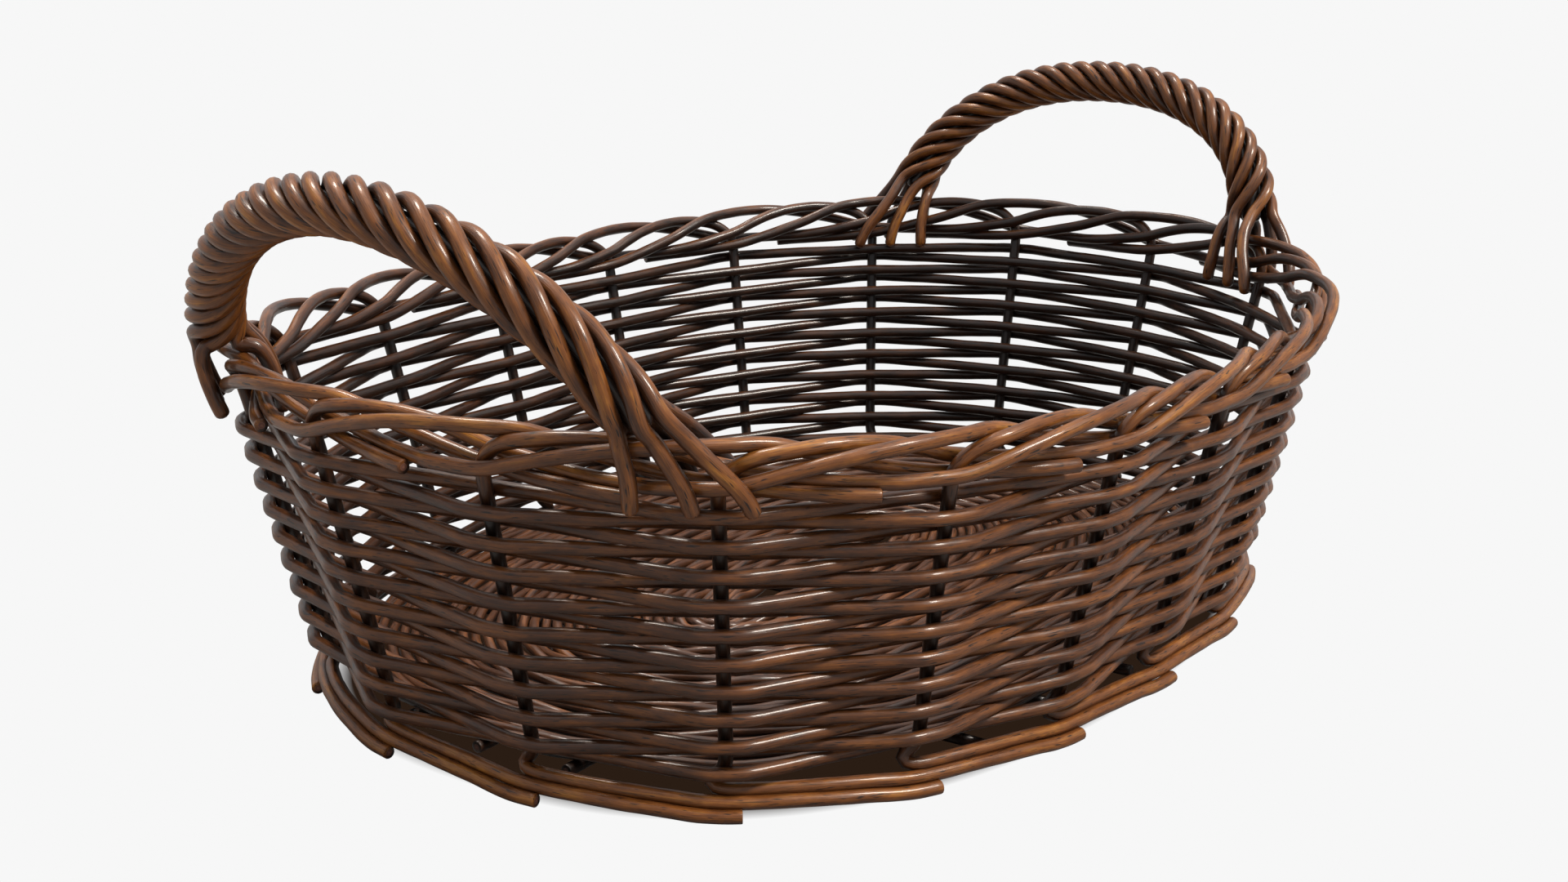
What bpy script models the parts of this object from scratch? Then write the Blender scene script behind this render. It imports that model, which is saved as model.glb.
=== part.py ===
# An oval wicker log basket, built the way it is woven: 18 stakes, 19 rows, a roped rim,
# a rolled foot, two twisted handles and a woven base. Metres, +Z up, the handles at the ends of X.
import math

import bpy
import numpy as np

# The woven wall
STAKES = 18
ROWS = 19
ROW_PITCH = 0.00616
LOWEST_ROW = 0.0202            # height of the bottom row's middle
TOP_LENGTH = 0.560             # the wall's middle surface at the top row
TOP_WIDTH = 0.421
FOOT_LENGTH = 0.507            # and at the bottom row
FOOT_WIDTH = 0.371
SQUARENESS = 2.4               # 2 is an ellipse, more is squarer
SADDLE = 0.0032                # the rim rises this much at the handles and sinks as much between them
FIRST_STAKE = 1.5              # stakes between stake 0 and the -X end
MIDDLE_X = 0.0041              # of the wall, so that the whole basket with its handles is centred

# Rods
STAKE_RADIUS = 0.0028
WEAVER_RADIUS = 0.0028
CROSSING = 0.0061              # from a stake's axis to the axis of a rod that passes it
KINK = 0.09                    # half of the bend over a stake, in stake gaps
ROD_SIDES = 5
RESTING_HEIGHT = STAKE_RADIUS * math.cos(math.pi / ROD_SIDES)  # of a rod's axis over the floor

# The rim
RIM_ABOVE_TOP_ROW = 0.0165
TOP_ROW = LOWEST_ROW + (ROWS - 1) * ROW_PITCH
RIM = TOP_ROW + RIM_ABOVE_TOP_ROW

# Handles: hooks and feet are places round the rim in stake gaps, base is the bow's lowest height
# over the rim's middle, rise its height along its own plane, skew its sideways lean, twist how
# tightly the rope is laid at its first foot, top and last foot, flare how wide it opens at its feet
HANDLES = {
    "left": {
        "outward": -1,
        "hooks": (0.0, 2.9),
        "feet": (-0.16, 2.90),
        "base": -0.019,
        "rise": 0.122,
        "lean": math.radians(27),
        "squareness": 1.9,
        "skew": -0.07,
        "twist": (1.15, 1.0, 0.5),
        "flare": (0.2, 0.2),
    },
    "right": {
        "outward": 1,
        "hooks": (9.13, 11.88),
        "feet": (9.22, 11.78),
        "base": 0.005,
        "rise": 0.089,
        "lean": math.radians(23),
        "squareness": 2.15,
        "skew": 0.06,
        "twist": (0.8, 1.0, 0.8),
        "flare": (0.3, 0.3),
    },
}
BOW_SAMPLES = 2001
ROPE_ABOVE_RIM = 0.0215        # the rope starts here, over the rim's middle
ROPE_RADIUS = 0.0090
STRANDS = 6
STRAND_RADIUS = 0.0030
STRAND_SIDES = 5
STRAND_POINTS = 33
ROPE_TURNS = 23 / 6            # in sixths, so that each strand lands where a hook starts
FLARE_SHARE = 0.22             # of the rope's length, at each foot
CORE_RADIUS = 0.0049
CORE_SIDES = 6
CORE_POINTS = 19
HOOK_SPREAD = 0.225            # between two hooked strands, in stake gaps

# The base
MAT_INSET = 0.0125
MAT_BOTTOM = 0.0117
MAT_THICKNESS = 0.006
MAT_CORNERS = 48
LONG_STICKS = 3
SHORT_STICKS = 5
STICK_RADIUS = 0.0027
LONG_STICK_HEIGHT = 0.0087
SHORT_STICK_HEIGHT = 0.0030
LONG_STICK_GAP = 0.045
SHORT_STICK_GAP = 0.055
STICK_INSET = 0.0105

# A stake's foot, from its cut end to the upright: stake gaps along, millimetres out,
# millimetres above the rod's own height on the floor
FOOT_ROUTE = (
    (2.06, 11.6, 0.0),
    (1.96, 11.5, 0.0),
    (1.84, 11.1, 0.1),
    (1.7, 10.2, 1.2),
    (1.5, 9.0, 2.7),
    (1.25, 7.8, 3.9),
    (1.1, 7.3, 4.2),
    (1.0, 7.2, 4.4),
    (0.87, 6.5, 5.0),
    (0.75, 5.6, 6.3),
    (0.5, 4.3, 7.6),
    (0.25, 3.3, 8.1),
    (0.03, 2.9, 8.4),
    (-0.06, 2.2, 8.7),
    (-0.1, -0.6, 10.0),
    (-0.08, -2.6, 12.0),
    (-0.03, -1.4, 14.6),
    (0.0, 0.0, 18.0),
)

# The same stake's way round the rim: behind one stake, before two, behind one more and out.
# Stake gaps along, millimetres out, millimetres above the rim's middle
RIM_ROUTE = (
    (0.0, 0.0, -12.0),
    (0.0, 0.0, -5.0),
    (0.03, 0.3, -1.2),
    (0.1, 1.4, 3.9),
    (0.17, 2.4, 6.1),
    (0.25, 2.8, 7.7),
    (0.38, 1.2, 9.3),
    (0.5, -0.5, 9.6),
    (0.62, -2.4, 9.1),
    (0.75, -4.4, 7.4),
    (0.9, -5.7, 3.6),
    (1.0, -6.2, 0.2),
    (1.25, -6.0, -3.5),
    (1.37, -4.4, -5.2),
    (1.5, -1.8, -6.2),
    (1.75, 3.4, -6.5),
    (2.0, 6.2, -5.7),
    (2.1, 6.8, -3.9),
    (2.25, 7.2, 0.4),
    (2.5, 7.2, 6.0),
    (2.62, 6.8, 8.0),
    (2.75, 6.0, 9.4),
    (2.9, 3.9, 10.1),
    (3.0, 1.9, 10.1),
    (3.1, -0.6, 10.0),
    (3.17, -2.8, 9.8),
    (3.25, -3.9, 9.0),
    (3.37, -5.7, 5.8),
    (3.5, -6.4, 2.0),
    (3.75, -6.6, -3.2),
    (3.9, -6.3, -5.8),
    (4.0, -6.1, -7.2),
    (4.1, -4.9, -8.0),
    (4.25, -2.0, -8.9),
    (4.5, 3.9, -9.6),
    (4.64, 6.5, -10.0),
)

# A strand's hook over the rim, from its top down: share of the way along the rim to the rope's foot,
# share of the spread, millimetres out, millimetres up
HOOK_ROUTE = (
    (0.7, 0.55, 11.4, 15.0),
    (0.4, 0.7, 13.6, 6.0),
    (0.15, 0.85, 13.6, -2.0),
    (0.05, 0.95, 13.4, -7.5),
    (0.0, 1.0, 12.6, -12.0),
)

MILLIMETRE = 0.001
STAKE_BROWN = (0.040, 0.017, 0.009)
ROW_BROWN = (0.095, 0.038, 0.013)
ROPE_BROWN = (0.120, 0.050, 0.017)
BASE_BROWN = (0.070, 0.030, 0.012)


def oval(angle, half_length, half_width):
    """A point of the squared oval, and the unit vector out of it."""
    cosine, sine = np.cos(angle), np.sin(angle)
    power = 2 / SQUARENESS
    x = half_length * np.sign(cosine) * np.abs(cosine) ** power
    y = half_width * np.sign(sine) * np.abs(sine) ** power
    out_x = np.sign(cosine) * np.abs(cosine) ** (2 - power) / half_length
    out_y = np.sign(sine) * np.abs(sine) ** (2 - power) / half_width
    length = np.hypot(out_x, out_y)
    return x, y, out_x / length, out_y / length


def even_spacing():
    """Shares of the way round the top row, and the oval's angle at each."""
    angle = np.linspace(0, 2 * np.pi, 7201)
    x, y, _, _ = oval(angle, TOP_LENGTH / 2, TOP_WIDTH / 2)
    steps = np.hypot(np.diff(x), np.diff(y))
    share = np.concatenate([[0], np.cumsum(steps)]) / steps.sum()
    return share, angle


SHARE_ROUND, ANGLE_ROUND = even_spacing()


def wall(along, height, out=0.0):
    """Points of the leaning wall: along in stake gaps, height and out in metres."""
    along, height, out = np.broadcast_arrays(along, height, out)
    share = (0.5 + (along - FIRST_STAKE) / STAKES) % 1
    angle = np.interp(share, SHARE_ROUND, ANGLE_ROUND)
    level = (height - LOWEST_ROW) / (TOP_ROW - LOWEST_ROW)
    half_length = (FOOT_LENGTH + (TOP_LENGTH - FOOT_LENGTH) * level) / 2
    half_width = (FOOT_WIDTH + (TOP_WIDTH - FOOT_WIDTH) * level) / 2
    x, y, out_x, out_y = oval(angle, half_length, half_width)
    lift = SADDLE * np.cos(2 * angle) * np.clip(level, 0, None)
    return np.stack([MIDDLE_X + x + out * out_x, y + out * out_y, height + lift], axis=-1)


def along_route(route, start, base_height, side=1):
    """A route of (along, out, up) rows, as points on the wall."""
    along, out, up = np.array(route).T
    return wall(start + along, base_height + up * MILLIMETRE, side * out * MILLIMETRE)


def unit(vectors):
    return vectors / np.linalg.norm(vectors, axis=-1, keepdims=True)


def directions(path, closed):
    if closed:
        return unit(np.roll(path, -1, axis=0) - np.roll(path, 1, axis=0))
    return unit(np.gradient(path, axis=0))


def carried_sides(ahead, first):
    """A sideways direction at each point of a path, carried along without twisting."""
    sides = []
    side = np.array(first, float)
    for direction in ahead:
        side = side - np.dot(side, direction) * direction
        side = side / np.linalg.norm(side)
        sides.append(side)
    return np.array(sides)


def tube(name, path, radius, corners, closed=False, down=(0, 0, -1)):
    """A rod along a path, with a flat side towards down at its start."""
    path = np.asarray(path, float)
    ahead = directions(path, closed)
    if closed:
        first = np.broadcast_to(np.array(down, float), path.shape)
        first = unit(first - np.sum(first * ahead, axis=1, keepdims=True) * ahead)
    else:
        first = carried_sides(ahead, down)
    second = np.cross(ahead, first)
    turn = 2 * np.pi * (np.arange(corners) + 0.5) / corners
    ring = np.cos(turn)[None, :, None] * first[:, None] + np.sin(turn)[None, :, None] * second[:, None]
    vertices = (path[:, None] + radius * ring).reshape(-1, 3)
    count = len(path)
    step = np.arange(count if closed else count - 1)[:, None]
    corner = np.arange(corners)[None, :]
    next_step = (step + 1) % count
    next_corner = (corner + 1) % corners
    faces = np.stack(
        [
            step * corners + corner,
            step * corners + next_corner,
            next_step * corners + next_corner,
            next_step * corners + corner,
        ],
        axis=-1,
    ).reshape(-1, 4).tolist()
    if not closed:
        faces.append(list(range(corners))[::-1])
        faces.append([(count - 1) * corners + i for i in range(corners)])
    return add_mesh(name, vertices, faces)


def add_mesh(name, vertices, faces):
    mesh = bpy.data.meshes.new(name)
    mesh.from_pydata(np.asarray(vertices).tolist(), [], faces)
    mesh.validate()
    mesh.update()
    made = bpy.data.objects.new(name, mesh)
    bpy.context.scene.collection.objects.link(made)
    return made


def stain(made, colour, roughness=0.42):
    material = bpy.data.materials.new(made.name + "_wicker")
    material.use_nodes = True
    shader = material.node_tree.nodes["Principled BSDF"]
    shader.inputs["Base Color"].default_value = (*colour, 1)
    shader.inputs["Roughness"].default_value = roughness
    shader.inputs["Metallic"].default_value = 0
    made.data.materials.append(material)
    return made


def add_stake(number):
    """One willow rod: its foot, its upright and its way round the rim."""
    foot = along_route(FOOT_ROUTE, number, RESTING_HEIGHT)
    rim = along_route(RIM_ROUTE, number, RIM)
    path = np.concatenate([foot, rim])
    name = f"stake_{number + 1:02d}"
    stain(tube(name, path, STAKE_RADIUS, ROD_SIDES), STAKE_BROWN)


def add_row(number):
    """A ring that passes outside every second stake and inside the others."""
    stake = np.repeat(np.arange(STAKES), 2)
    along = stake + np.tile([-KINK, KINK], STAKES)
    side = np.where((stake + number) % 2 == 0, 1, -1)
    height = TOP_ROW - (number - 1) * ROW_PITCH
    path = wall(along, height, side * CROSSING)
    name = f"weave_row_{number:02d}"
    stain(tube(name, path, WEAVER_RADIUS, ROD_SIDES, closed=True), ROW_BROWN)


def bow(handle, count):
    """A handle's middle line from foot to foot, and the directions out of and along its plane."""
    first, last = (wall(foot, RIM) for foot in handle["feet"])
    half = (first - last) / 2
    middle = (first + last) / 2 + np.array([0, 0, handle["base"]])
    lean = np.array([handle["outward"] * math.sin(handle["lean"]), 0, math.cos(handle["lean"])])
    climb = lean + handle["skew"] * unit(half)
    power = 2 / handle["squareness"]
    angle = np.linspace(0, np.pi, BOW_SAMPLES)[:, None]
    across = np.sign(np.cos(angle)) * np.abs(np.cos(angle)) ** power
    arch = middle + across * half + handle["rise"] * np.sin(angle) ** power * climb
    arch = arch[arch[:, 2] > first[2] + ROPE_ABOVE_RIM]
    steps = np.linalg.norm(np.diff(arch, axis=0), axis=1)
    length = np.concatenate([[0], np.cumsum(steps)])
    even = np.linspace(0, length[-1], count)
    path = np.stack([np.interp(even, length, arch[:, axis]) for axis in range(3)], axis=-1)
    outward = unit(np.cross(lean, half))
    return path, outward, np.cross(directions(path, False), outward)


def rim_turn(place, outward, sideways):
    """The rope's turn at its foot that faces a strand squarely out of the wall."""
    out = wall(place, RIM, 1.0) - wall(place, RIM)
    return math.atan2(np.dot(out, sideways), np.dot(out, outward))


def hook(sixth, place, foot, offset):
    """A strand's way over the rim, from its top down to its cut end; sixth is its place in the rope."""
    along = unit(wall(place + KINK, RIM) - wall(place - KINK, RIM))
    middle = sixth % (STRANDS // 2) == 0
    spread = 0 if middle else math.copysign(HOOK_SPREAD, np.dot(offset, along))
    side = 1 if math.cos(2 * np.pi * sixth / STRANDS) > 0 else -1
    route = np.array(HOOK_ROUTE)
    towards_rope = np.dot(foot - wall(place, RIM), along) * along
    path = along_route(route[:, 1:] * (spread, 1, 1), place, RIM, side)
    return path + route[:, :1] * towards_rope


def add_handle(end, handle):
    first_place, last_place = handle["hooks"]
    path, _, _ = bow(handle, CORE_POINTS)
    core = tube(f"handle_{end}_core", path, CORE_RADIUS, CORE_SIDES, down=(1, 0, 0))
    stain(core, STAKE_BROWN)
    path, outward, sideways = bow(handle, STRAND_POINTS)
    start_turn = rim_turn(first_place, outward, sideways[0])
    end_turn = rim_turn(last_place, outward, sideways[-1])
    share = np.linspace(0, 1, STRAND_POINTS)
    laid = np.interp(share, (0, 0.5, 1), handle["twist"])
    laid = np.concatenate([[0], np.cumsum(laid[1:] + laid[:-1])])
    twist = start_turn + (end_turn - start_turn + 2 * np.pi * ROPE_TURNS) * laid / laid[-1]
    nearness = np.clip(1 - np.stack([share, 1 - share]) / FLARE_SHARE, 0, None)
    width = 1 + np.array(handle["flare"]) @ nearness**2
    for strand in range(STRANDS):
        turn = (twist + 2 * np.pi * strand / STRANDS)[:, None]
        around = ROPE_RADIUS * (np.cos(turn) * outward + width[:, None] * np.sin(turn) * sideways)
        first_hook = hook(strand, first_place, path[0], around[0])
        last_hook = hook(strand + round(ROPE_TURNS * STRANDS), last_place, path[-1], around[-1])
        whole = np.concatenate([first_hook[::-1], path + around, last_hook])
        name = f"handle_{end}_strand_{strand + 1}"
        stain(tube(name, whole, STRAND_RADIUS, STRAND_SIDES, down=(1, 0, 0)), ROPE_BROWN)


def add_mat():
    """The woven floor, as one flat oval solid."""
    angle = np.linspace(0, 2 * np.pi, MAT_CORNERS, endpoint=False)
    half_length = FOOT_LENGTH / 2 - MAT_INSET
    half_width = FOOT_WIDTH / 2 - MAT_INSET
    x, y, _, _ = oval(angle, half_length, half_width)
    low = np.stack([MIDDLE_X + x, y, np.full_like(x, MAT_BOTTOM)], axis=-1)
    high = low + np.array([0, 0, MAT_THICKNESS])
    corners = np.arange(MAT_CORNERS)
    following = (corners + 1) % MAT_CORNERS
    sides = np.stack([corners, following, following + MAT_CORNERS, corners + MAT_CORNERS], axis=-1)
    faces = sides.tolist()
    faces.append(corners[::-1].tolist())
    faces.append((corners + MAT_CORNERS).tolist())
    stain(add_mesh("base_mat", np.concatenate([low, high]), faces), BASE_BROWN)


def add_sticks():
    """The rods that the floor is woven on: short ones lowest, long ones across them."""
    half_length = FOOT_LENGTH / 2 - STICK_INSET
    half_width = FOOT_WIDTH / 2 - STICK_INSET
    for number in range(LONG_STICKS):
        y = (number - (LONG_STICKS - 1) / 2) * LONG_STICK_GAP
        reach = half_length * (1 - abs(y / half_width) ** SQUARENESS) ** (1 / SQUARENESS)
        path = [(MIDDLE_X - reach, y, LONG_STICK_HEIGHT), (MIDDLE_X + reach, y, LONG_STICK_HEIGHT)]
        stain(tube(f"base_stick_long_{number + 1}", path, STICK_RADIUS, ROD_SIDES), BASE_BROWN)
    for number in range(SHORT_STICKS):
        x = (number - (SHORT_STICKS - 1) / 2) * SHORT_STICK_GAP
        reach = half_width * (1 - abs(x / half_length) ** SQUARENESS) ** (1 / SQUARENESS)
        path = [(MIDDLE_X + x, -reach, SHORT_STICK_HEIGHT), (MIDDLE_X + x, reach, SHORT_STICK_HEIGHT)]
        stain(tube(f"base_stick_short_{number + 1}", path, STICK_RADIUS, ROD_SIDES), BASE_BROWN)


def build():
    for old in list(bpy.data.objects):
        bpy.data.objects.remove(old, do_unlink=True)
    for number in range(STAKES):
        add_stake(number)
    for number in range(1, ROWS + 1):
        add_row(number)
    for end, handle in HANDLES.items():
        add_handle(end, handle)
    add_mat()
    add_sticks()


build()
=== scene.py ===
# Oval log basket of dark stained, lacquered willow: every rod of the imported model, made with its
# real bends, cut ends and grain. Metres, +Z up, one handle at each end of X.
import math

import bpy
import numpy as np
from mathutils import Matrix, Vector


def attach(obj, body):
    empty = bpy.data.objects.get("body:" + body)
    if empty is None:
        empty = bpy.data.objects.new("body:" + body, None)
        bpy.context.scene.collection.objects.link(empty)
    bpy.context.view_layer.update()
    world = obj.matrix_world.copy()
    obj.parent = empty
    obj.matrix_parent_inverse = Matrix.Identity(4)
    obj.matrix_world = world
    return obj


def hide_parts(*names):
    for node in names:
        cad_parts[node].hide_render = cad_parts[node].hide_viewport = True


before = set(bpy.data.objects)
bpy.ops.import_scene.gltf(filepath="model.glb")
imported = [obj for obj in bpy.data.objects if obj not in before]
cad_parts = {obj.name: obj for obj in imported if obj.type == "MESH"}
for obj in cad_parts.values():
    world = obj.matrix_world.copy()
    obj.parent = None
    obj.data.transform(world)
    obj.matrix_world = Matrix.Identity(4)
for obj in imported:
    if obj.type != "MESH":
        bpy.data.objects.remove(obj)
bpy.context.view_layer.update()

millimetre = 0.001

# the woven wall
wallShape = {
    "stakes": 18,
    "rows": 19,
    "rowPitch": 0.00616,
    "lowestRow": 0.0202,      # height of the bottom row's middle
    "topLength": 0.560,       # the wall's middle surface at the top row
    "topWidth": 0.421,
    "footLength": 0.507,      # and at the bottom row
    "footWidth": 0.371,
    "squareness": 2.4,        # 2 is an ellipse, more is squarer
    "saddle": 0.0032,         # the rim rises this much at the handles and sinks between them
    "firstStake": 1.5,        # stakes between stake 0 and the -X end
    "middleX": 0.0041,        # the wall is set this far along X, so that the whole basket is centred
    "rimAboveTopRow": 0.0165,
}
topRow = wallShape["lowestRow"] + (wallShape["rows"] - 1) * wallShape["rowPitch"]
rim = topRow + wallShape["rimAboveTopRow"]


def unit(vectors):
    return vectors / np.linalg.norm(vectors, axis=-1, keepdims=True)


def oval(angle, halfLength, halfWidth):
    # squared oval: x is a times the cosine's power, y is b times the sine's power, both keeping
    # their signs; the way out of it is the same with the powers turned round
    cosine, sine = np.cos(angle), np.sin(angle)
    power = 2 / wallShape["squareness"]
    x = halfLength * np.sign(cosine) * np.abs(cosine) ** power
    y = halfWidth * np.sign(sine) * np.abs(sine) ** power
    outX = np.sign(cosine) * np.abs(cosine) ** (2 - power) / halfLength
    outY = np.sign(sine) * np.abs(sine) ** (2 - power) / halfWidth
    size = np.hypot(outX, outY)
    return x, y, outX / size, outY / size


def evenSpacing():
    # share of the way round the top row against the oval's angle
    angle = np.linspace(0, 2 * np.pi, 7201)
    x, y, _, _ = oval(angle, wallShape["topLength"] / 2, wallShape["topWidth"] / 2)
    steps = np.hypot(np.diff(x), np.diff(y))
    return np.concatenate([[0], np.cumsum(steps)]) / steps.sum(), angle


shareRound, angleRound = evenSpacing()


def wallPoint(along, height, out=0.0):
    # the leaning wall: an oval that grows in step with its height, lifted at its ends by a cosine
    # of twice the angle; along is in stake gaps, height and out in metres
    along, height, out = np.broadcast_arrays(along, height, out)
    share = (0.5 + (along - wallShape["firstStake"]) / wallShape["stakes"]) % 1
    angle = np.interp(share, shareRound, angleRound)
    level = (height - wallShape["lowestRow"]) / (topRow - wallShape["lowestRow"])
    growLength = wallShape["topLength"] - wallShape["footLength"]
    growWidth = wallShape["topWidth"] - wallShape["footWidth"]
    halfLength = (wallShape["footLength"] + growLength * level) / 2
    halfWidth = (wallShape["footWidth"] + growWidth * level) / 2
    x, y, outX, outY = oval(angle, halfLength, halfWidth)
    lift = wallShape["saddle"] * np.cos(2 * angle) * np.clip(level, 0, None)
    return np.stack([wallShape["middleX"] + x + out * outX, y + out * outY, height + lift], axis=-1)


def wayOut(points):
    # level directions out of the oval through these points, each from its own angle round the middle
    along = (points[:, 0] - wallShape["middleX"]) / wallShape["topLength"]
    angle = np.arctan2(points[:, 1] / wallShape["topWidth"], along)
    cosine, sine = np.cos(angle), np.sin(angle)
    power = wallShape["squareness"] - 1
    out = np.stack([np.sign(cosine) * np.abs(cosine) ** power / wallShape["topLength"],
                    np.sign(sine) * np.abs(sine) ** power / wallShape["topWidth"],
                    np.zeros_like(angle)], axis=-1)
    return unit(out)


def alongRoute(route, start, baseHeight, side=1):
    along, out, up = np.array(route).T
    return wallPoint(start + along, baseHeight + up * millimetre, side * out * millimetre)


# rods: a round profile carried along a path
rodMesh = {
    "sides": 14,
    "step": 0.0024,           # between two rings of points
    "chamfer": 0.0004,        # worn edge of a sawn end
    "fineStep": 0.0008,       # at which a path's corners are rounded
}
dice = np.random.default_rng(18)


def evenly(points, step, closed=False):
    # the same path with a point at every step of its length
    if closed:
        points = np.concatenate([points, points[:1]])
    steps = np.linalg.norm(np.diff(points, axis=0), axis=1)
    length = np.concatenate([[0], np.cumsum(steps)])
    count = max(int(round(length[-1] / step)), 4)
    even = np.linspace(0, length[-1], count + 1)
    path = np.stack([np.interp(even, length, points[:, axis]) for axis in range(3)], axis=-1)
    return path[:-1] if closed else path


def bentRod(corners, bend, closed=False, step=None):
    # straight runs whose corners are rounded by a bell-shaped running mean, bend metres wide
    fine = rodMesh["fineStep"]
    path = evenly(np.asarray(corners, float), fine, closed)
    reach = min(int(4 * bend / fine), len(path) - 2)
    bell = np.exp(-0.5 * (np.arange(-reach, reach + 1) * fine / bend) ** 2)
    bell /= bell.sum()
    if closed:
        padded = np.concatenate([path[-reach:], path, path[:reach]])
    else:
        before = 2 * path[0] - path[reach:0:-1]
        after = 2 * path[-1] - path[-2:-reach - 2:-1]
        padded = np.concatenate([before, path, after])
    smooth = np.stack([np.convolve(padded[:, axis], bell, "valid") for axis in range(3)], axis=-1)
    return evenly(smooth, step or rodMesh["step"], closed)


def directions(path, closed=False):
    if closed:
        return unit(np.roll(path, -1, axis=0) - np.roll(path, 1, axis=0))
    return unit(np.gradient(path, axis=0))


def steadySides(ahead):
    # two sideways directions at each point that don't turn round the rod: any sideways pair is
    # taken first, then turned back by the running sum of its own twist
    guide = np.where(np.abs(ahead[:, 2:]) < 0.9, [[0.0, 0.0, 1.0]], [[1.0, 0.0, 0.0]])
    first = unit(guide - np.sum(guide * ahead, axis=1, keepdims=True) * ahead)
    second = np.cross(ahead, first)
    axis = np.cross(ahead[:-1], ahead[1:])
    turned = np.sum(ahead[:-1] * ahead[1:], axis=1, keepdims=True)
    moved = first[:-1] * turned + np.cross(axis, first[:-1])
    moved += axis * np.sum(axis * first[:-1], axis=1, keepdims=True) / (1 + turned)
    slip = np.arctan2(np.sum(moved * second[1:], axis=1), np.sum(moved * first[1:], axis=1))
    twist = np.concatenate([[0], np.cumsum(slip)])[:, None]
    return np.cos(twist) * first + np.sin(twist) * second, np.cos(twist) * second - np.sin(twist) * first


def unevenness(along, length, spans):
    # a slow waver between -1 and 1: sines of random phase, each a whole number of waves long
    waver = np.zeros_like(along)
    for span in spans:
        waves = max(round(length / span), 1)
        waver += np.sin(2 * np.pi * (waves * along / length + dice.random()))
    return waver / len(spans)


def endRings(kind, radius):
    # rings past a rod's end: distance, share of the radius, whether the ring is on the sawn face
    if kind == "sawn":
        worn = rodMesh["chamfer"]
        return np.array([(0.5 * worn, 0.98, 0), (worn, 0.90, 0), (worn, 0.5, 1), (worn, 0.0, 1)])
    turn = np.radians([25, 48, 70, 90])
    return np.stack([0.8 * radius * np.sin(turn), np.cos(turn), np.zeros(4)], axis=-1)


def rodSurface(path, radius, closed, ends, tone, paintedLightWay, lumps, sides):
    # points on a grid: path + radius * (cos(round) * first + sin(round) * second), and for each
    # its place in the rod's own length and section, its turn, its painted light and shade, its tone and
    # whether it is sawn
    ahead = directions(path, closed)
    if closed:
        first = unit(np.array([0, 0, 1.0]) - ahead[:, 2:] * ahead)
        second = np.cross(ahead, first)
    else:
        first, second = steadySides(ahead)
    steps = np.linalg.norm(np.diff(path, axis=0), axis=1)
    along = np.concatenate([[0], np.cumsum(steps)])
    length = along[-1] + (np.linalg.norm(path[0] - path[-1]) if closed else 0)
    thickness = radius * (1 + lumps * unevenness(along, length, (0.014, 0.031, 0.083)))
    tone = np.broadcast_to(tone, along.shape)
    paintedLightWay = np.broadcast_to(paintedLightWay, path.shape)
    rows = np.arange(len(path))
    past = np.zeros(len(path))
    share = np.ones(len(path))
    sawn = np.zeros(len(path))
    if not closed:
        start, end = endRings(ends[0], thickness[0])[::-1], endRings(ends[1], thickness[-1])
        rows = np.concatenate([np.zeros(len(start), int), rows, np.full(len(end), rows[-1])])
        past = np.concatenate([-start[:, 0], past, end[:, 0]])
        share = np.concatenate([start[:, 1], share, end[:, 1]])
        sawn = np.concatenate([start[:, 2], sawn, end[:, 2]])
    turn = 2 * np.pi * np.arange(sides) / sides
    ring = np.cos(turn)[:, None] * first[rows][:, None] + np.sin(turn)[:, None] * second[rows][:, None]
    reach = (thickness[rows] * share)[:, None, None]
    points = (path[rows] + past[:, None] * ahead[rows])[:, None] + reach * ring
    # painted light and shade: each face is painted lighter the more it turns towards the given way, and
    # darker as it turns away
    paintedLightAndShade = 0.5 + 0.5 * np.sum(ring * paintedLightWay[rows][:, None], axis=-1)
    section = np.stack([np.cos(turn), np.sin(turn)], axis=-1)[None] * reach
    place = np.broadcast_to((along[rows] + past)[:, None, None], (len(rows), sides, 1))
    return points, np.concatenate([place, section], axis=-1), paintedLightAndShade, tone[rows], sawn, length


def rodFaces(count, sides, closed):
    # squares between rings; an open rod's first and last ring are single points, joined by fans
    step = np.arange(count if closed else count - 1)[:, None]
    corner = np.arange(sides)[None, :]
    after, beside = (step + 1) % count, (corner + 1) % sides
    squares = np.stack([step * sides + corner, step * sides + beside,
                        after * sides + beside, after * sides + corner], axis=-1)
    if closed:
        return squares.reshape(-1, 4), np.zeros((0, 3), int)
    fans = np.concatenate([squares[0][:, [0, 2, 3]], squares[-1][:, [0, 1, 2]]])
    return squares[1:-1].reshape(-1, 4), fans


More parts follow.
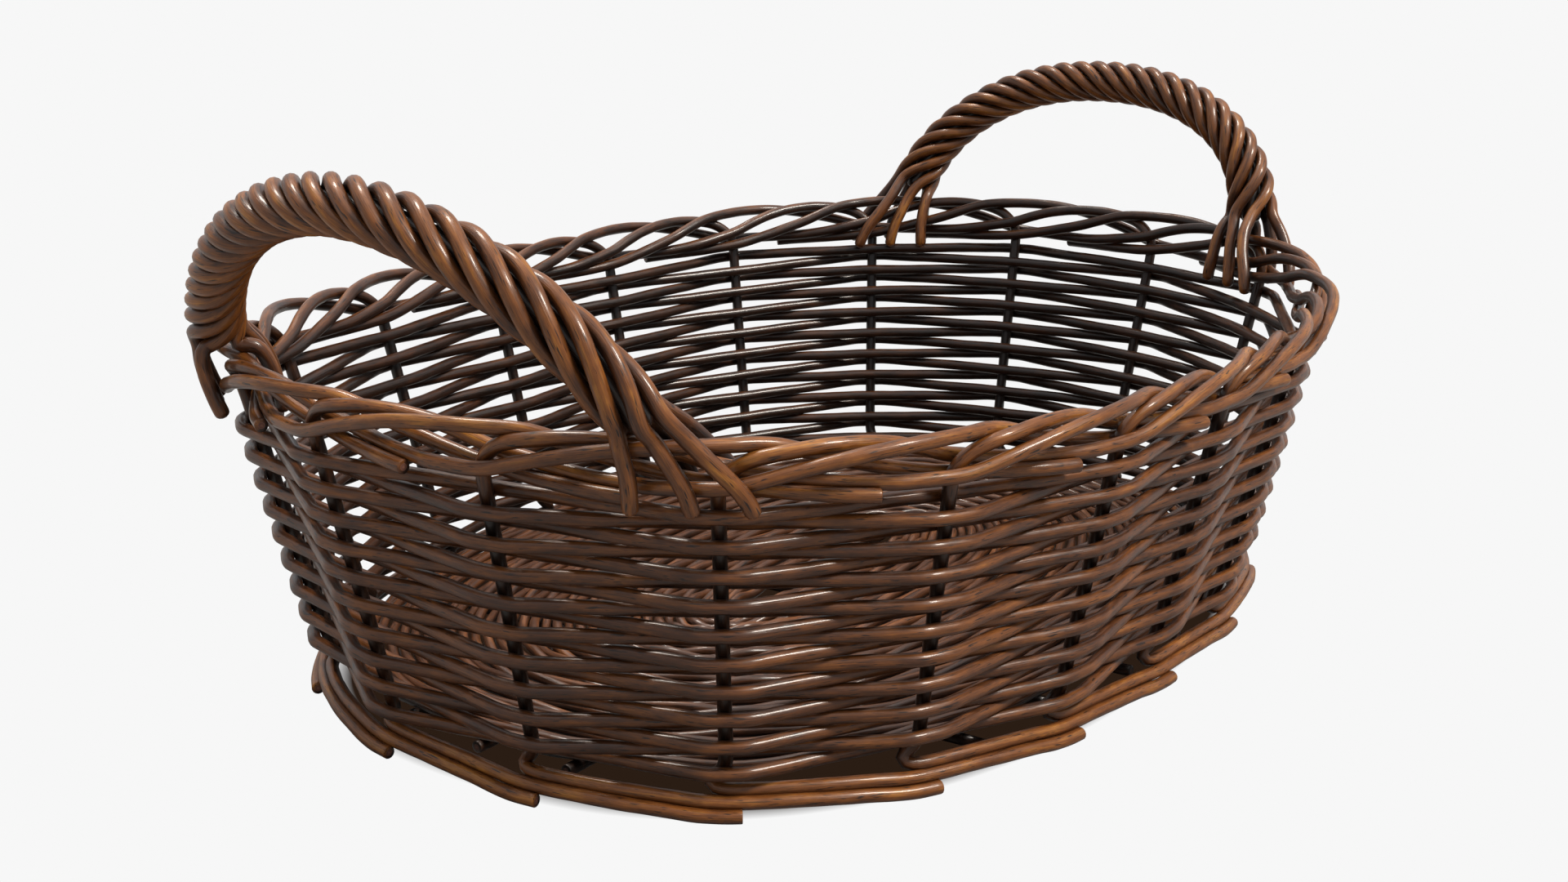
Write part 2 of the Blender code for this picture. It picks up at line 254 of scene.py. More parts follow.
def addRods(name, rods, materials):
    # one mesh of one or several rods; what its materials read is stored at its points
    stored = {"co": [], "rodPlace": [], "rodTurn": [], "rodStainAndPaintedLight": []}
    squares, fans, sawnSquares, sawnFans = [], [], [], []
    start = 0
    for rod in rods:
        closed = rod.get("closed", False)
        # a rod given no way is painted lighter on top and darker underneath: painted light and shade
        points, place, paintedLightAndShade, tone, sawn, length = rodSurface(
            rod["path"], rod["radius"], closed, rod.get("ends", ("sawn", "sawn")), rod.get("tone", 1.0),
            rod.get("paintedLightWay", (0, 0, 1)), rod.get("lumps", 0.03), rod.get("sides", rodMesh["sides"]))
        count, sides = points.shape[:2]
        seed = 3 + 40 * dice.random()
        turn = np.full((count, sides), seed)
        if closed:
            # round a ring the length is wound on a circle, so that the grain meets itself
            around, size = 2 * np.pi * place[..., 0] / length, length / (2 * np.pi)
            turn = size * np.sin(around) + seed
            place = np.concatenate([(size * np.cos(around))[..., None], place[..., 1:]], axis=-1)
        ringSquares, ringFans = rodFaces(count, sides, closed)
        number = np.arange(count * sides).reshape(count, sides)
        if not closed:
            number[0], number[-1] = 0, number[-1, 0]
        kept = np.unique(number)
        number = start + np.searchsorted(kept, number.ravel())
        squares.append(number[ringSquares])
        fans.append(number[ringFans])
        if closed:
            sawnSquares.append(np.zeros(len(ringSquares)))
            sawnFans.append(np.zeros(0))
        else:
            sawnSquares.append(np.repeat(np.minimum(sawn[1:-2], sawn[2:-1]), sides))
            sawnFans.append(np.repeat([sawn[0], sawn[-1]], sides))
        # the stored tone is the stain's tone times the painted light and shade of each face
        for key, values in (("co", points.reshape(-1, 3)), ("rodPlace", place.reshape(-1, 3)),
                            ("rodTurn", turn.ravel()), ("rodStainAndPaintedLight", (tone[:, None] * paintedLightAndShade).ravel())):
            stored[key].append(values[kept])
        start += len(kept)
    stored = {key: np.concatenate(values).astype(np.float32) for key, values in stored.items()}
    squares, fans = np.concatenate(squares), np.concatenate(fans)
    corners = np.concatenate([squares.ravel(), fans.ravel()])
    sizes = np.concatenate([np.full(len(squares), 4), np.full(len(fans), 3)])
    isSawn = np.concatenate(sawnSquares + sawnFans) > 0.5
    mesh = bpy.data.meshes.new(name)
    mesh.vertices.add(start)
    mesh.vertices.foreach_set("co", stored["co"].ravel())
    mesh.loops.add(len(corners))
    mesh.loops.foreach_set("vertex_index", corners.astype(np.int32))
    mesh.polygons.add(len(sizes))
    mesh.polygons.foreach_set("loop_start", (np.cumsum(sizes) - sizes).astype(np.int32))
    place = mesh.attributes.new("rodPlace", "FLOAT_VECTOR", "POINT")
    place.data.foreach_set("vector", stored["rodPlace"].ravel())
    for key in ("rodTurn", "rodStainAndPaintedLight"):
        mesh.attributes.new(key, "FLOAT", "POINT").data.foreach_set("value", stored[key])
    for material in materials:
        mesh.materials.append(material)
    mesh.polygons.foreach_set("material_index", isSawn.astype(np.int32))
    mesh.polygons.foreach_set("use_smooth", ~isSawn)
    mesh.update(calc_edges=True)
    mesh.validate()
    piece = bpy.data.objects.new(name, mesh)
    bpy.context.scene.collection.objects.link(piece)
    return piece


def standFor(piece, node):
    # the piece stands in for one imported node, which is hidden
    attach(piece, "root")
    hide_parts(node)
    return piece


# materials
def linear(hexColour):
    channel = np.array([int(hexColour[i:i + 2], 16) for i in (1, 3, 5)]) / 255
    return (*np.where(channel <= 0.04045, channel / 12.92, ((channel + 0.055) / 1.055) ** 2.4).tolist(), 1.0)


def addNode(tree, kind, links=None, values=None, **settings):
    node = tree.nodes.new(kind)
    for name, value in settings.items():
        setattr(node, name, value)
    for socket, value in (values or {}).items():
        node.inputs[socket].default_value = value
    for socket, source in (links or {}).items():
        tree.links.new(source, node.inputs[socket])
    return node


def grainNoise(tree, place, turn, alongMm, acrossMm, detail):
    # noise stretched along the rod: its features are alongMm long and acrossMm wide
    long, wide = 1000 / alongMm, 1000 / acrossMm
    spread = addNode(tree, "ShaderNodeVectorMath", {0: place}, {1: (long, wide, wide)}, operation="MULTIPLY")
    shift = addNode(tree, "ShaderNodeMath", {0: turn}, {1: long}, operation="MULTIPLY")
    noise = addNode(tree, "ShaderNodeTexNoise", {"Vector": spread.outputs[0], "W": shift.outputs[0]},
                    {"Scale": 1.0, "Detail": detail, "Roughness": 0.6}, noise_dimensions="4D")
    return noise.outputs["Factor" if "Factor" in noise.outputs else "Fac"]


willowLook = {
    # stain colours from dark to pale; each face is placed on them by its stain tone and by painted light and
    # shade
    "shades": (("#0e0805", 0.0), ("#2a170c", 0.25), ("#4e2b13", 0.5), ("#7c481b", 0.75), ("#b0742c", 1.0)),
    "shadeRange": (0.16, 0.66),  # of the ramp, from the face most in painted shade to the one most in painted light
    "mottle": 0.25,              # how far the stain wanders along the ramp
    "streak": "#0e0705",
    "streakShare": 0.75,
    "roughness": (0.30, 0.50),
    "coat": 0.35,
    "coatRoughness": 0.13,
    "relief": 0.0005,
    "ior": 1.45,
    "specular": 0.35,
}


def makeWillow():
    # dark stained willow under clear lacquer: long dark streaks where the stain sank into the
    # grain, faces painted warmer where they turn out and up (painted light), darker where they turn in
    # (painted shade), and thin bright lines where the lacquer catches the light
    material = bpy.data.materials.new("lacqueredStainedWillow")
    material.use_nodes = True
    tree = material.node_tree
    shader = tree.nodes["Principled BSDF"]
    along = addNode(tree, "ShaderNodeAttribute", attribute_name="rodPlace").outputs["Vector"]
    turn = addNode(tree, "ShaderNodeAttribute", attribute_name="rodTurn").outputs["Fac"]
    tone = addNode(tree, "ShaderNodeAttribute", attribute_name="rodStainAndPaintedLight").outputs["Fac"]
    fibre = grainNoise(tree, along, turn, 12, 0.45, 2)
    stripe = grainNoise(tree, along, turn, 40, 1.6, 2)
    blotch = grainNoise(tree, along, turn, 14, 4.0, 3)
    drift = grainNoise(tree, along, turn, 110, 18, 1)
    fleck = grainNoise(tree, along, turn, 7, 0.7, 1)
    broad = addNode(tree, "ShaderNodeMix", {"A": blotch, "B": drift}, {"Factor": 0.35})
    fine = addNode(tree, "ShaderNodeMix", {"A": stripe, "B": fibre}, {"Factor": 0.5})
    mottle = addNode(tree, "ShaderNodeMix", {"A": broad.outputs["Result"], "B": fine.outputs["Result"]},
                     {"Factor": 0.5})
    wander = willowLook["mottle"]
    spread = addNode(tree, "ShaderNodeMapRange", {"Value": mottle.outputs["Result"]},
                     {"From Min": 0.38, "From Max": 0.62, "To Min": -wander, "To Max": wander}, clamp=False)
    # the stored tone, the stain's tone times the painted light and shade, is spread over this span of the
    # ramp, so faces turned in and down are painted darker and faces turned out and up lighter
    paintedShadeEnd, worn = willowLook["shadeRange"]
    stainAndPaintedLightShade = addNode(tree, "ShaderNodeMapRange", {"Value": tone}, {"To Min": paintedShadeEnd, "To Max": worn},
                   clamp=False)
    shade = addNode(tree, "ShaderNodeMath", {0: spread.outputs[0], 1: stainAndPaintedLightShade.outputs[0]}, operation="ADD",
                    use_clamp=True)
    ramp = addNode(tree, "ShaderNodeValToRGB", {0: shade.outputs[0]})
    elements = ramp.color_ramp.elements
    while len(elements) < len(willowLook["shades"]):
        elements.new(0.5)
    for element, (shadeHex, position) in zip(elements, willowLook["shades"]):
        element.position = position
        element.color = linear(shadeHex)
    sunk = willowLook["streakShare"]
    streaky = addNode(tree, "ShaderNodeMapRange", {"Value": fibre},
                      {"From Min": 0.53, "From Max": 0.70, "To Min": 0.0, "To Max": sunk})
    flecky = addNode(tree, "ShaderNodeMapRange", {"Value": fleck},
                     {"From Min": 0.62, "From Max": 0.69, "To Min": 0.0, "To Max": 0.9})
    dark = addNode(tree, "ShaderNodeMath", {0: streaky.outputs[0], 1: flecky.outputs[0]}, operation="MAXIMUM")
    colour = addNode(tree, "ShaderNodeMix", {"Factor": dark.outputs[0], "A": ramp.outputs["Color"]},
                     {"B": linear(willowLook["streak"])}, data_type="RGBA")
    smooth, rough = willowLook["roughness"]
    patchy = addNode(tree, "ShaderNodeMix", {"A": blotch, "B": fibre}, {"Factor": 0.5})
    gloss = addNode(tree, "ShaderNodeMapRange", {"Value": patchy.outputs["Result"]},
                    {"From Min": 0.35, "From Max": 0.65, "To Min": smooth, "To Max": rough})
    relief = addNode(tree, "ShaderNodeMix", {"A": fibre, "B": blotch}, {"Factor": 0.35})
    bump = addNode(tree, "ShaderNodeBump", {"Height": relief.outputs["Result"]},
                   {"Strength": 0.6, "Distance": willowLook["relief"]})
    tree.links.new(colour.outputs["Result"], shader.inputs["Base Color"])
    tree.links.new(gloss.outputs[0], shader.inputs["Roughness"])
    tree.links.new(bump.outputs[0], shader.inputs["Normal"])
    shader.inputs["IOR"].default_value = willowLook["ior"]
    shader.inputs["Specular IOR Level"].default_value = willowLook["specular"]
    shader.inputs["Coat Weight"].default_value = willowLook["coat"]
    shader.inputs["Coat Roughness"].default_value = willowLook["coatRoughness"]
    return material


sawnLook = {
    "dark": "#5a3528",
    "pale": "#8c5c48",
    "ringMm": 0.7,               # from one growth ring to the next
    "noiseScale": 2.2,           # per millimetre
    "relief": 0.0003,
    "roughness": 0.62,
}


def makeSawnEnd():
    # the sawn end of a willow rod: paler red-brown wood that took less stain, with faint rings
    material = bpy.data.materials.new("sawnWillowEnd")
    material.use_nodes = True
    tree = material.node_tree
    shader = tree.nodes["Principled BSDF"]
    place = addNode(tree, "ShaderNodeAttribute", attribute_name="rodPlace").outputs["Vector"]
    flat = addNode(tree, "ShaderNodeVectorMath", {0: place}, {1: (0, 1000, 1000)}, operation="MULTIPLY")
    distance = addNode(tree, "ShaderNodeVectorMath", {0: flat.outputs[0]}, operation="LENGTH")
    noise = addNode(tree, "ShaderNodeTexNoise", {"Vector": flat.outputs[0]},
                    {"Scale": sawnLook["noiseScale"], "Detail": 3.0})
    wavy = addNode(tree, "ShaderNodeMath", {0: distance.outputs["Value"], 1: noise.outputs[0]},
                   operation="ADD")
    rings = addNode(tree, "ShaderNodeMath", {0: wavy.outputs[0]}, {1: sawnLook["ringMm"]},
                    operation="PINGPONG")
    ramp = addNode(tree, "ShaderNodeValToRGB", {0: rings.outputs[0]})
    ramp.color_ramp.elements[0].color = linear(sawnLook["dark"])
    ramp.color_ramp.elements[1].color = linear(sawnLook["pale"])
    tree.links.new(ramp.outputs["Color"], shader.inputs["Base Color"])
    bump = addNode(tree, "ShaderNodeBump", {"Height": noise.outputs[0]},
                   {"Strength": 0.5, "Distance": sawnLook["relief"]})
    tree.links.new(bump.outputs[0], shader.inputs["Normal"])
    shader.inputs["Roughness"].default_value = sawnLook["roughness"]
    return material


willow = makeWillow()
sawnEnd = makeSawnEnd()
wicker = (willow, sawnEnd)

# stakes: foot, upright and way round the rim, all one rod
stakeRod = {
    "radius": 0.0029,
    "bend": 0.0036,
    "restingHeight": 0.0030,  # the foot's axis over the floor
    "uprightTone": 0.12,
    "rimTone": 1.2,
    "darkFrom": 0.012,        # height over the floor where the upright starts to darken
    "paleFrom": 0.004,        # depth under the rim's middle where it is pale again
    "fade": 0.02,             # length over which it changes
    "uprightShare": 0.55,     # of the rod's length, past which it is no upright
}
# stake gaps along, millimetres out, millimetres above the rod's own height on the floor
footRoute = (
    (2.06, 11.6, 0.0), (1.96, 11.5, 0.0), (1.84, 10.8, 0.6), (1.7, 9.6, 2.1), (1.5, 8.6, 3.2),
    (1.25, 7.7, 4.2), (1.1, 7.3, 4.2), (1.0, 7.2, 4.4), (0.87, 6.5, 5.0), (0.75, 5.6, 6.3),
    (0.5, 4.3, 7.6), (0.25, 3.3, 8.1), (0.03, 2.9, 8.4), (-0.06, 2.2, 8.7), (-0.1, -0.6, 10.0),
    (-0.08, -2.6, 12.0), (-0.03, -1.4, 14.6), (0.0, 0.0, 18.0),
)
# behind one stake, before two, behind one more and out: gaps along, millimetres out and above the rim
rimRoute = (
    (0.0, 0.0, -12.0), (0.0, 0.0, -5.0), (0.03, 0.3, -1.2), (0.1, 1.4, 3.9), (0.17, 2.4, 6.1),
    (0.25, 2.8, 7.7), (0.38, 1.2, 9.3), (0.5, -0.5, 9.6), (0.62, -2.4, 9.1), (0.75, -4.4, 7.4),
    (0.9, -5.7, 3.6), (1.0, -6.2, 0.2), (1.25, -6.0, -3.5), (1.37, -4.4, -5.2), (1.5, -1.8, -6.2),
    (1.75, 3.4, -6.5), (2.0, 6.2, -5.7), (2.1, 6.8, -3.9), (2.25, 7.2, 0.4), (2.5, 7.2, 6.0),
    (2.62, 6.8, 8.0), (2.75, 6.0, 9.4), (2.9, 3.9, 10.1), (3.0, 1.9, 10.1), (3.1, -0.6, 10.0),
    (3.17, -2.8, 9.8), (3.25, -3.9, 9.0), (3.37, -5.7, 5.8), (3.5, -6.4, 2.0), (3.75, -6.6, -3.2),
    (3.9, -6.3, -5.8), (4.0, -6.1, -7.2), (4.1, -4.9, -8.0), (4.25, -2.0, -8.9), (4.5, 3.9, -9.6),
    (4.64, 6.5, -10.0),
)


def addStake(number):
    foot = alongRoute(footRoute, number, stakeRod["restingHeight"])
    top = alongRoute(rimRoute, number, rim)
    path = bentRod(np.concatenate([foot, top]), stakeRod["bend"])
    # brown on the foot and round the rim, near black on the upright between them
    below = np.clip((path[:, 2] - stakeRod["darkFrom"]) / stakeRod["fade"], 0, 1)
    above = np.clip((rim - stakeRod["paleFrom"] - path[:, 2]) / stakeRod["fade"], 0, 1)
    onUpright = (np.arange(len(path)) < len(path) * stakeRod["uprightShare"]) & (path[:, 2] < rim)
    upright = np.where(onUpright, below * above, 0)
    tone = stakeRod["rimTone"] + (stakeRod["uprightTone"] - stakeRod["rimTone"]) * upright
    # painted light and shade: faces turned out and up are painted lighter, those turned in and down darker
    paintedLightWay = unit(wayOut(path) * 0.8 + np.array([0, 0, 0.6]))
    rod = {"path": path, "radius": stakeRod["radius"], "tone": tone, "paintedLightWay": paintedLightWay}
    standFor(addRods(f"stakeRod_{number + 1:02d}", [rod], wicker), f"stake_{number + 1:02d}")


for number in range(wallShape["stakes"]):
    addStake(number)
print("stakes done")

# rows: each passes outside every second stake and inside the others
rowRod = {
    "radius": 0.0029,
    "crossing": 0.0061,       # from a stake's axis to the axis of a rod that passes it
    "kink": 0.09,             # half of the bend over a stake, in stake gaps
    "bend": 0.0023,
    "sag": 0.0003,
    "tone": 0.86,
}


def addRow(number):
    stake = np.repeat(np.arange(wallShape["stakes"]), 2)
    along = stake + np.tile([-rowRod["kink"], rowRod["kink"]], wallShape["stakes"])
    side = np.where((stake + number) % 2 == 0, 1, -1)
    height = topRow - (number - 1) * wallShape["rowPitch"]
    path = bentRod(wallPoint(along, height, side * rowRod["crossing"]), rowRod["bend"], closed=True)
    share = np.arange(len(path)) / len(path)
    path[:, 2] += rowRod["sag"] * unevenness(share, 1.0, (0.03, 0.071, 0.2))
    tone = rowRod["tone"] * (1 + 0.1 * unevenness(share, 1.0, (0.11, 0.3)))
    # painted light and shade: faces turned out and up are painted lighter, those turned in and down darker
    paintedLightWay = unit(wayOut(path) * 0.85 + np.array([0, 0, 0.5]))
    rod = {"path": path, "radius": rowRod["radius"] * (1 + 0.02 * (dice.random() - 0.5)), "closed": True,
           "tone": tone, "paintedLightWay": paintedLightWay}
    standFor(addRods(f"weaverRow_{number:02d}", [rod], wicker), f"weave_row_{number:02d}")


for number in range(1, wallShape["rows"] + 1):
    addRow(number)
print("rows done")

# handles: six strands laid round a bent rod, hooked over the rim at both feet
handleShapes = {
    "left": {
        "outward": -1,
        "hooks": (0.0, 2.9),       # stake gaps round the rim
        "feet": (-0.16, 2.90),
        "base": -0.019,            # the bow's lowest height over the rim's middle
        "rise": 0.122,
        "lean": math.radians(27),
        "squareness": 1.9,
        "skew": -0.07,
        "twist": (1.15, 1.0, 0.5),     # how tightly it is laid at its first foot, top and last foot
        "flare": (0.2, 0.2),           # how wide it opens at its feet
    },
    "right": {
        "outward": 1,
        "hooks": (9.13, 11.88),
        "feet": (9.22, 11.78),
        "base": 0.005,
        "rise": 0.089,
        "lean": math.radians(23),
        "squareness": 2.15,
        "skew": 0.06,
        "twist": (0.8, 1.0, 0.8),
        "flare": (0.3, 0.3),
    },
}
rope = {
    "aboveRim": 0.0215,
    "radius": 0.0089,         # from the bow's middle to a strand's
    "strands": 6,
    "strandRadius": 0.0032,
    "turns": 23 / 6,          # in sixths, so that each strand lands where a hook starts
    "flareShare": 0.22,
    "hookSpread": 0.225,
    "samples": 400,
    "bend": 0.0032,
    "coreRadius": 0.0052,
    "coreSamples": 120,
    "coreTone": 0.15,
    "tone": 1.15,
    "hookFade": 0.012,        # height over which a strand turns from rope to hook
}
# a hook from its top down: share of the way along the rim to the rope's foot, share of the spread,
# millimetres out, millimetres above the rim's middle
hookRoute = (
    (0.7, 0.55, 11.4, 15.0), (0.4, 0.7, 13.6, 6.0), (0.15, 0.85, 13.6, -2.0), (0.05, 0.95, 13.4, -7.5),
    (0.0, 1.0, 12.6, -12.0),
)


def bow(shape, count):
    # squared arch: the half span times the cosine's power along, the rise times the sine's power up
    # a leaning line; cut where it meets the rim and spaced evenly
    first, last = (wallPoint(foot, rim) for foot in shape["feet"])
    half = (first - last) / 2
    middle = (first + last) / 2 + np.array([0, 0, shape["base"]])
    lean = np.array([shape["outward"] * math.sin(shape["lean"]), 0, math.cos(shape["lean"])])
    climb = lean + shape["skew"] * unit(half)
    power = 2 / shape["squareness"]
    angle = np.linspace(0, np.pi, 2001)[:, None]
    across = np.sign(np.cos(angle)) * np.abs(np.cos(angle)) ** power
    arch = middle + across * half + shape["rise"] * np.sin(angle) ** power * climb
    arch = arch[arch[:, 2] > first[2] + rope["aboveRim"]]
    steps = np.linalg.norm(np.diff(arch, axis=0), axis=1)
    length = np.concatenate([[0], np.cumsum(steps)])
    even = np.linspace(0, length[-1], count)
    path = np.stack([np.interp(even, length, arch[:, axis]) for axis in range(3)], axis=-1)
    outward = unit(np.cross(lean, half))
    return path, outward, np.cross(directions(path), outward)


def rimTurn(hookPlace, outward, sideways):
    out = wallPoint(hookPlace, rim, 1.0) - wallPoint(hookPlace, rim)
    return math.atan2(out @ sideways, out @ outward)


def hookSide(sixth):
    # 1 for a strand that hooks down outside the wall, -1 for one inside
    return 1 if math.cos(2 * np.pi * sixth / rope["strands"]) > 0 else -1


def hook(sixth, hookPlace, foot, offset):
    along = unit(wallPoint(hookPlace + rowRod["kink"], rim) - wallPoint(hookPlace - rowRod["kink"], rim))
    middle = sixth % (rope["strands"] // 2) == 0
    spread = 0 if middle else math.copysign(rope["hookSpread"], offset @ along)
    route = np.array(hookRoute)
    towardsRope = (foot - wallPoint(hookPlace, rim)) @ along * along
    spreadRoute = route[:, 1:] * (spread, 1, 1)
    return alongRoute(spreadRoute, hookPlace, rim, hookSide(sixth)) + route[:, :1] * towardsRope


def addHandle(end, shape):
    path, _, _ = bow(shape, rope["coreSamples"])
    # no way is given, so the core is painted lighter on top and darker underneath: painted light and shade
    core = {"path": path, "radius": rope["coreRadius"], "tone": rope["coreTone"], "ends": ("round", "round")}
    standFor(addRods(f"{end}HandleCore", [core], wicker), f"handle_{end}_core")
    path, outward, sideways = bow(shape, rope["samples"])
    startTurn = rimTurn(shape["hooks"][0], outward, sideways[0])
    endTurn = rimTurn(shape["hooks"][1], outward, sideways[-1])
    share = np.linspace(0, 1, rope["samples"])
    laid = np.interp(share, (0, 0.5, 1), shape["twist"])
    laid = np.concatenate([[0], np.cumsum(laid[1:] + laid[:-1])])
    twist = startTurn + (endTurn - startTurn + 2 * np.pi * rope["turns"]) * laid / laid[-1]
    nearness = np.clip(1 - np.stack([share, 1 - share]) / rope["flareShare"], 0, None)
    width = 1 + np.array(shape["flare"]) @ nearness ** 2
    for strand in range(rope["strands"]):
        turn = (twist + 2 * np.pi * strand / rope["strands"])[:, None]
        around = rope["radius"] * (np.cos(turn) * outward + width[:, None] * np.sin(turn) * sideways)
        landing = strand + round(rope["turns"] * rope["strands"])
        firstHook = hook(strand, shape["hooks"][0], path[0], around[0])
        lastHook = hook(landing, shape["hooks"][1], path[-1], around[-1])
        route = np.concatenate([firstHook[::-1], path + around, lastHook])
        whole = bentRod(route, rope["bend"])
        nearest = np.argmin(np.linalg.norm(whole[:, None] - path[None, ::8], axis=-1), axis=1)
        # painted light and shade: a strand is painted palest on the face turned from the rope's middle, and
        # its hooks on the face turned from the wall, and darker on the faces turned inward
        side = np.where(np.arange(len(whole)) * 2 < len(whole), hookSide(strand), hookSide(landing))[:, None]
        onHook = np.clip((rim + rope["aboveRim"] - whole[:, 2:]) / rope["hookFade"], 0, 1)
        ropeFace = unit(whole - path[::8][nearest])
        paintedLightWay = unit(ropeFace * (1 - onHook) + side * wayOut(whole) * onHook + np.array([0, 0, 0.2]))
        rod = {"path": whole, "radius": rope["strandRadius"], "tone": rope["tone"], "paintedLightWay": paintedLightWay,
               "ends": ("round", "round")}
        name = f"{end}HandleStrand_{strand + 1}"
        standFor(addRods(name, [rod], wicker), f"handle_{end}_strand_{strand + 1}")


for end, shape in handleShapes.items():
    addHandle(end, shape)
print("handles done")

# base: oval rings that wave over and under, on crossed rods
baseWeave = {
    "inset": 0.0125,          # from the bottom row's middle surface
    "middle": 0.0149,         # height of the weave's middle
    "ringPitch": 0.0052,
    "radius": 0.0023,
    "wave": 0.0012,
    "waves": 13,
    "sides": 10,
    "bend": 0.002,
    "step": 0.0036,
    "tone": 0.7,
}


def addBase():
    halfLength = wallShape["footLength"] / 2 - baseWeave["inset"] - baseWeave["radius"]
    halfWidth = wallShape["footWidth"] / 2 - baseWeave["inset"] - baseWeave["radius"]
    rods = []
    for number in range(int(halfWidth / baseWeave["ringPitch"])):
        inset = number * baseWeave["ringPitch"]
        angle = np.linspace(0, 2 * np.pi, 1441)[:-1]
        x, y, _, _ = oval(angle, halfLength - inset, halfWidth - inset)
        z = baseWeave["middle"] + baseWeave["wave"] * np.sin(baseWeave["waves"] * angle + np.pi * number)
        ring = np.stack([wallShape["middleX"] + x, y, z], axis=-1)
        path = bentRod(ring, baseWeave["bend"], closed=True, step=baseWeave["step"])
        # no way is given, so each ring is painted lighter on top and darker underneath: painted light and
        # shade
        rods.append({"path": path, "radius": baseWeave["radius"], "closed": True, "tone": baseWeave["tone"],
                     "sides": baseWeave["sides"]})
    standFor(addRods("wovenBase", rods, wicker), "base_mat")


addBase()

baseRods = {
    "long": {"count": 3, "gap": 0.045, "height": 0.0087, "across": 1},
    "short": {"count": 5, "gap": 0.055, "height": 0.0030, "across": 0},
    "radius": 0.0027,
    "inset": 0.0105,
    "tone": 0.6,
}
for kind in ("long", "short"):
    rods = baseRods[kind]
    sizes = [wallShape["footLength"] / 2 - baseRods["inset"], wallShape["footWidth"] / 2 - baseRods["inset"]]
    across = rods["across"]
    for number in range(rods["count"]):
        offset = (number - (rods["count"] - 1) / 2) * rods["gap"]
        power = wallShape["squareness"]
        reach = sizes[1 - across] * (1 - abs(offset / sizes[across]) ** power) ** (1 / power)
        ends = np.full((2, 3), rods["height"])
        ends[:, across] = offset
        ends[:, 1 - across] = (-reach, reach)
        ends[:, 0] += wallShape["middleX"]
        path = evenly(ends, rodMesh["step"])
        # painted light and shade: the sticks' lower faces are painted lighter and their upper faces darker
        rod = {"path": path, "radius": baseRods["radius"], "tone": baseRods["tone"], "paintedLightWay": (0, 0, -1)}
        piece = addRods(f"base{kind.title()}Rod_{number + 1}", [rod], wicker)
        standFor(piece, f"base_stick_{kind}_{number + 1}")
print("base done")

# camera, light and floor
cameraView = {
    "azimuth": math.radians(-54.55),
    "elevation": math.radians(15.545),
    "distance": 0.9986,
    "aim": (-0.0031, 0.0138, 0.0830),
    "lens": 46.33,
    "sensor": 36,
}


def addCamera():
    camera = bpy.data.objects.new("camera", bpy.data.cameras.new("camera"))
    camera.data.lens = cameraView["lens"]
    camera.data.sensor_width = cameraView["sensor"]
    azimuth, elevation = cameraView["azimuth"], cameraView["elevation"]
    level = math.cos(elevation)
    away = Vector((math.sin(azimuth) * level, -math.cos(azimuth) * level, math.sin(elevation)))
    camera.location = Vector(cameraView["aim"]) + cameraView["distance"] * away
    camera.rotation_euler = (-away).to_track_quat("-Z", "Y").to_euler()
    bpy.context.scene.collection.objects.link(camera)
    bpy.context.scene.camera = camera


addCamera()

studio = {
    "floor": "#f7f7f7",
    "floorHalf": 30,              # half of the floor's side
    "shadow": "#2a1d14",          # of the paper right under the basket
    "shadowEdge": (0.92, 1.04),   # the oval sums between which the shadow fades
    "floorBounce": "#8c8c8c",     # what the floor gives back to the basket
    "air": (0.97, 0.98, 1.0),
    "low": 0.42,                  # light from the room's walls
    "high": 1.0,                  # and from the panel overhead
    "panelEdge": (0.55, 0.95),    # sines of the heights between which the panel grows bright
    "reflected": 0.15,            # added where the lacquer mirrors the bright backdrop
    "lamps": {
        # the way each one shines, its strength and its width in degrees
        "key": ((-0.2, 0.8, -1.0), 3.0, 14),
        "back": ((-0.3, -0.6, -1.3), 1.8, 14),
    },
    "lampColour": (1.0, 0.93, 0.84),
}


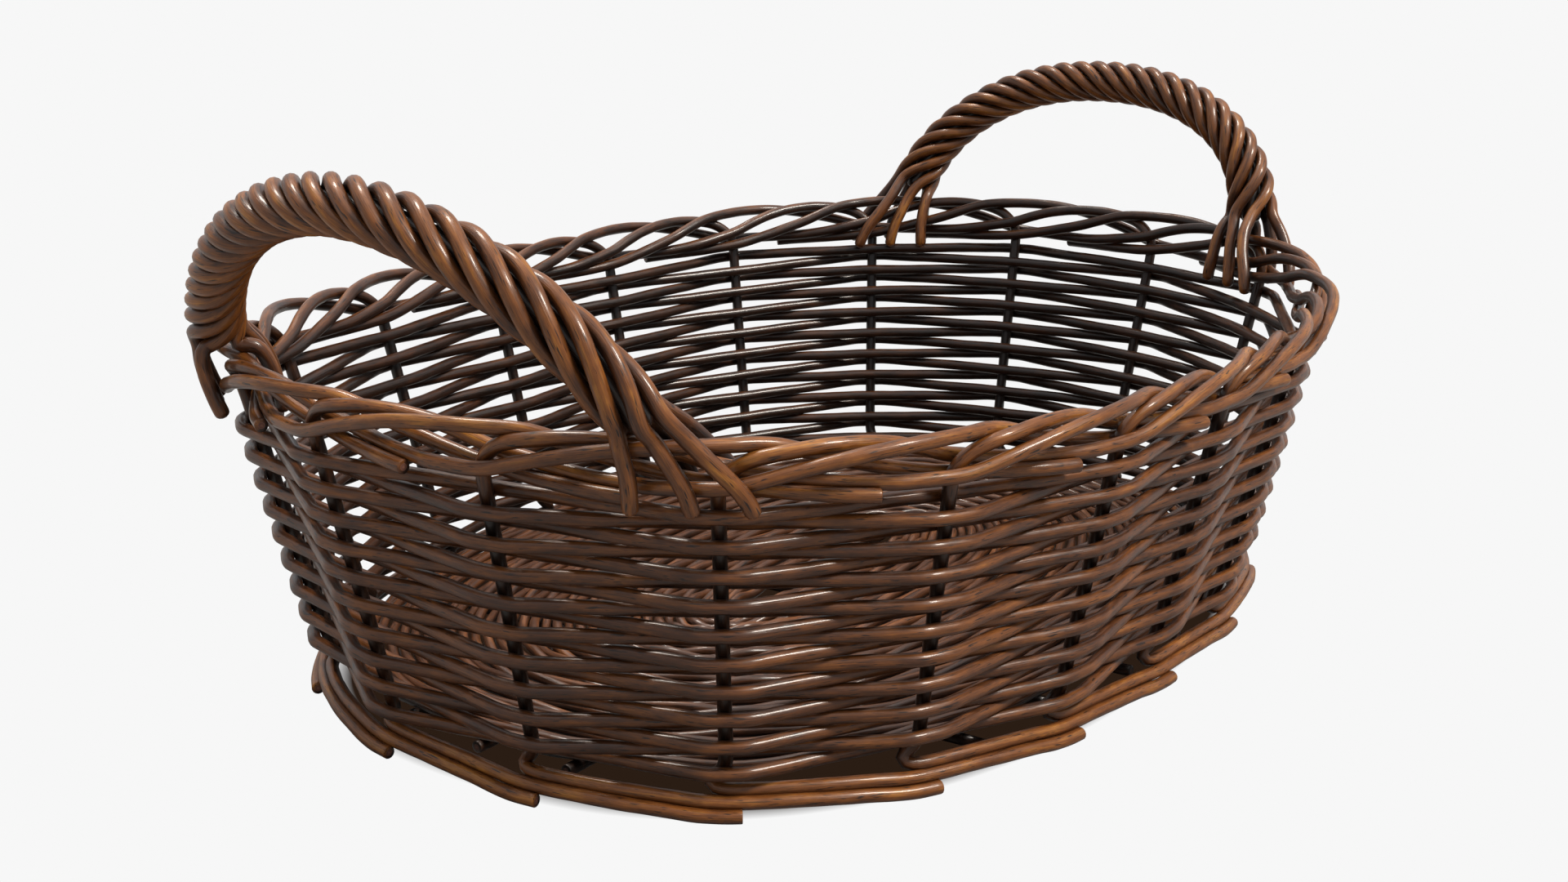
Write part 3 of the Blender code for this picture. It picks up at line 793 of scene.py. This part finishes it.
def addFloor():
    half = studio["floorHalf"]
    mesh = bpy.data.meshes.new("floor")
    corners = [(-half, -half, 0), (half, -half, 0), (half, half, 0), (-half, half, 0)]
    mesh.from_pydata(corners, [], [(0, 1, 2, 3)])
    floor = bpy.data.objects.new("floor", mesh)
    bpy.context.scene.collection.objects.link(floor)
    # overexposed backdrop paper: even and pale to look at, but it gives back less light than that
    material = bpy.data.materials.new("paleBackdropPaper")
    material.use_nodes = True
    tree = material.node_tree
    shader = tree.nodes["Principled BSDF"]
    shader.inputs["Base Color"].default_value = linear(studio["floorBounce"])
    shader.inputs["Roughness"].default_value = 0.9
    seen = addNode(tree, "ShaderNodeLightPath").outputs["Is Camera Ray"]
    # a dark oval painted on the paper stands in for the shadow under the base: x and y are each
    # divided by the foot's half size and raised to the oval's power, and it is dark where their
    # sum is less than about one
    where = addNode(tree, "ShaderNodeTexCoord").outputs["Object"]
    middle = (-wallShape["middleX"], 0, 0)
    moved = addNode(tree, "ShaderNodeVectorMath", {0: where}, {1: middle}, operation="ADD")
    sizes = (2 / wallShape["footLength"], 2 / wallShape["footWidth"], 0)
    scaled = addNode(tree, "ShaderNodeVectorMath", {0: moved.outputs[0]}, {1: sizes}, operation="MULTIPLY")
    sides = addNode(tree, "ShaderNodeVectorMath", {0: scaled.outputs[0]}, operation="ABSOLUTE")
    axes = addNode(tree, "ShaderNodeSeparateXYZ", {0: sides.outputs[0]})
    powers = [addNode(tree, "ShaderNodeMath", {0: axes.outputs[axis]}, {1: wallShape["squareness"]},
                      operation="POWER").outputs[0] for axis in ("X", "Y")]
    reach = addNode(tree, "ShaderNodeMath", {0: powers[0], 1: powers[1]}, operation="ADD")
    darkTo, paleFrom = studio["shadowEdge"]
    lit = addNode(tree, "ShaderNodeMapRange", {"Value": reach.outputs[0]},
                  {"From Min": darkTo, "From Max": paleFrom})
    paper = addNode(tree, "ShaderNodeMix", {"Factor": lit.outputs[0]},
                    {"A": linear(studio["shadow"]), "B": linear(studio["floor"])}, data_type="RGBA")
    glow = addNode(tree, "ShaderNodeEmission", {"Color": paper.outputs["Result"]})
    both = addNode(tree, "ShaderNodeMixShader", {0: seen, 1: shader.outputs[0], 2: glow.outputs[0]})
    tree.links.new(both.outputs[0], tree.nodes["Material Output"].inputs["Surface"])
    mesh.materials.append(material)


def addLight():
    world = bpy.data.worlds.new("studio")
    bpy.context.scene.world = world
    world.use_nodes = True
    tree = world.node_tree
    background = tree.nodes["Background"]
    skyWay = addNode(tree, "ShaderNodeTexCoord").outputs["Generated"]
    height = addNode(tree, "ShaderNodeSeparateXYZ", {0: skyWay}).outputs["Z"]
    wallTo, panelFrom = studio["panelEdge"]
    strength = addNode(tree, "ShaderNodeMapRange", {"Value": height},
                       {"From Min": wallTo, "From Max": panelFrom,
                        "To Min": studio["low"], "To Max": studio["high"]},
                       interpolation_type="SMOOTHSTEP")
    gloss = addNode(tree, "ShaderNodeLightPath").outputs["Is Glossy Ray"]
    mirrored = addNode(tree, "ShaderNodeMath", {0: gloss}, {1: studio["reflected"]}, operation="MULTIPLY")
    total = addNode(tree, "ShaderNodeMath", {0: strength.outputs[0], 1: mirrored.outputs[0]}, operation="ADD")
    tree.links.new(total.outputs[0], background.inputs["Strength"])
    background.inputs["Color"].default_value = (*studio["air"], 1)
    for name, (way, energy, width) in studio["lamps"].items():
        lamp = bpy.data.objects.new(name, bpy.data.lights.new(name, "SUN"))
        lamp.data.energy = energy
        lamp.data.angle = math.radians(width)
        lamp.data.color = studio["lampColour"]
        lamp.rotation_euler = Vector(way).to_track_quat("-Z", "Y").to_euler()
        bpy.context.scene.collection.objects.link(lamp)


addFloor()
addLight()
bpy.context.scene.view_settings.view_transform = "Standard"
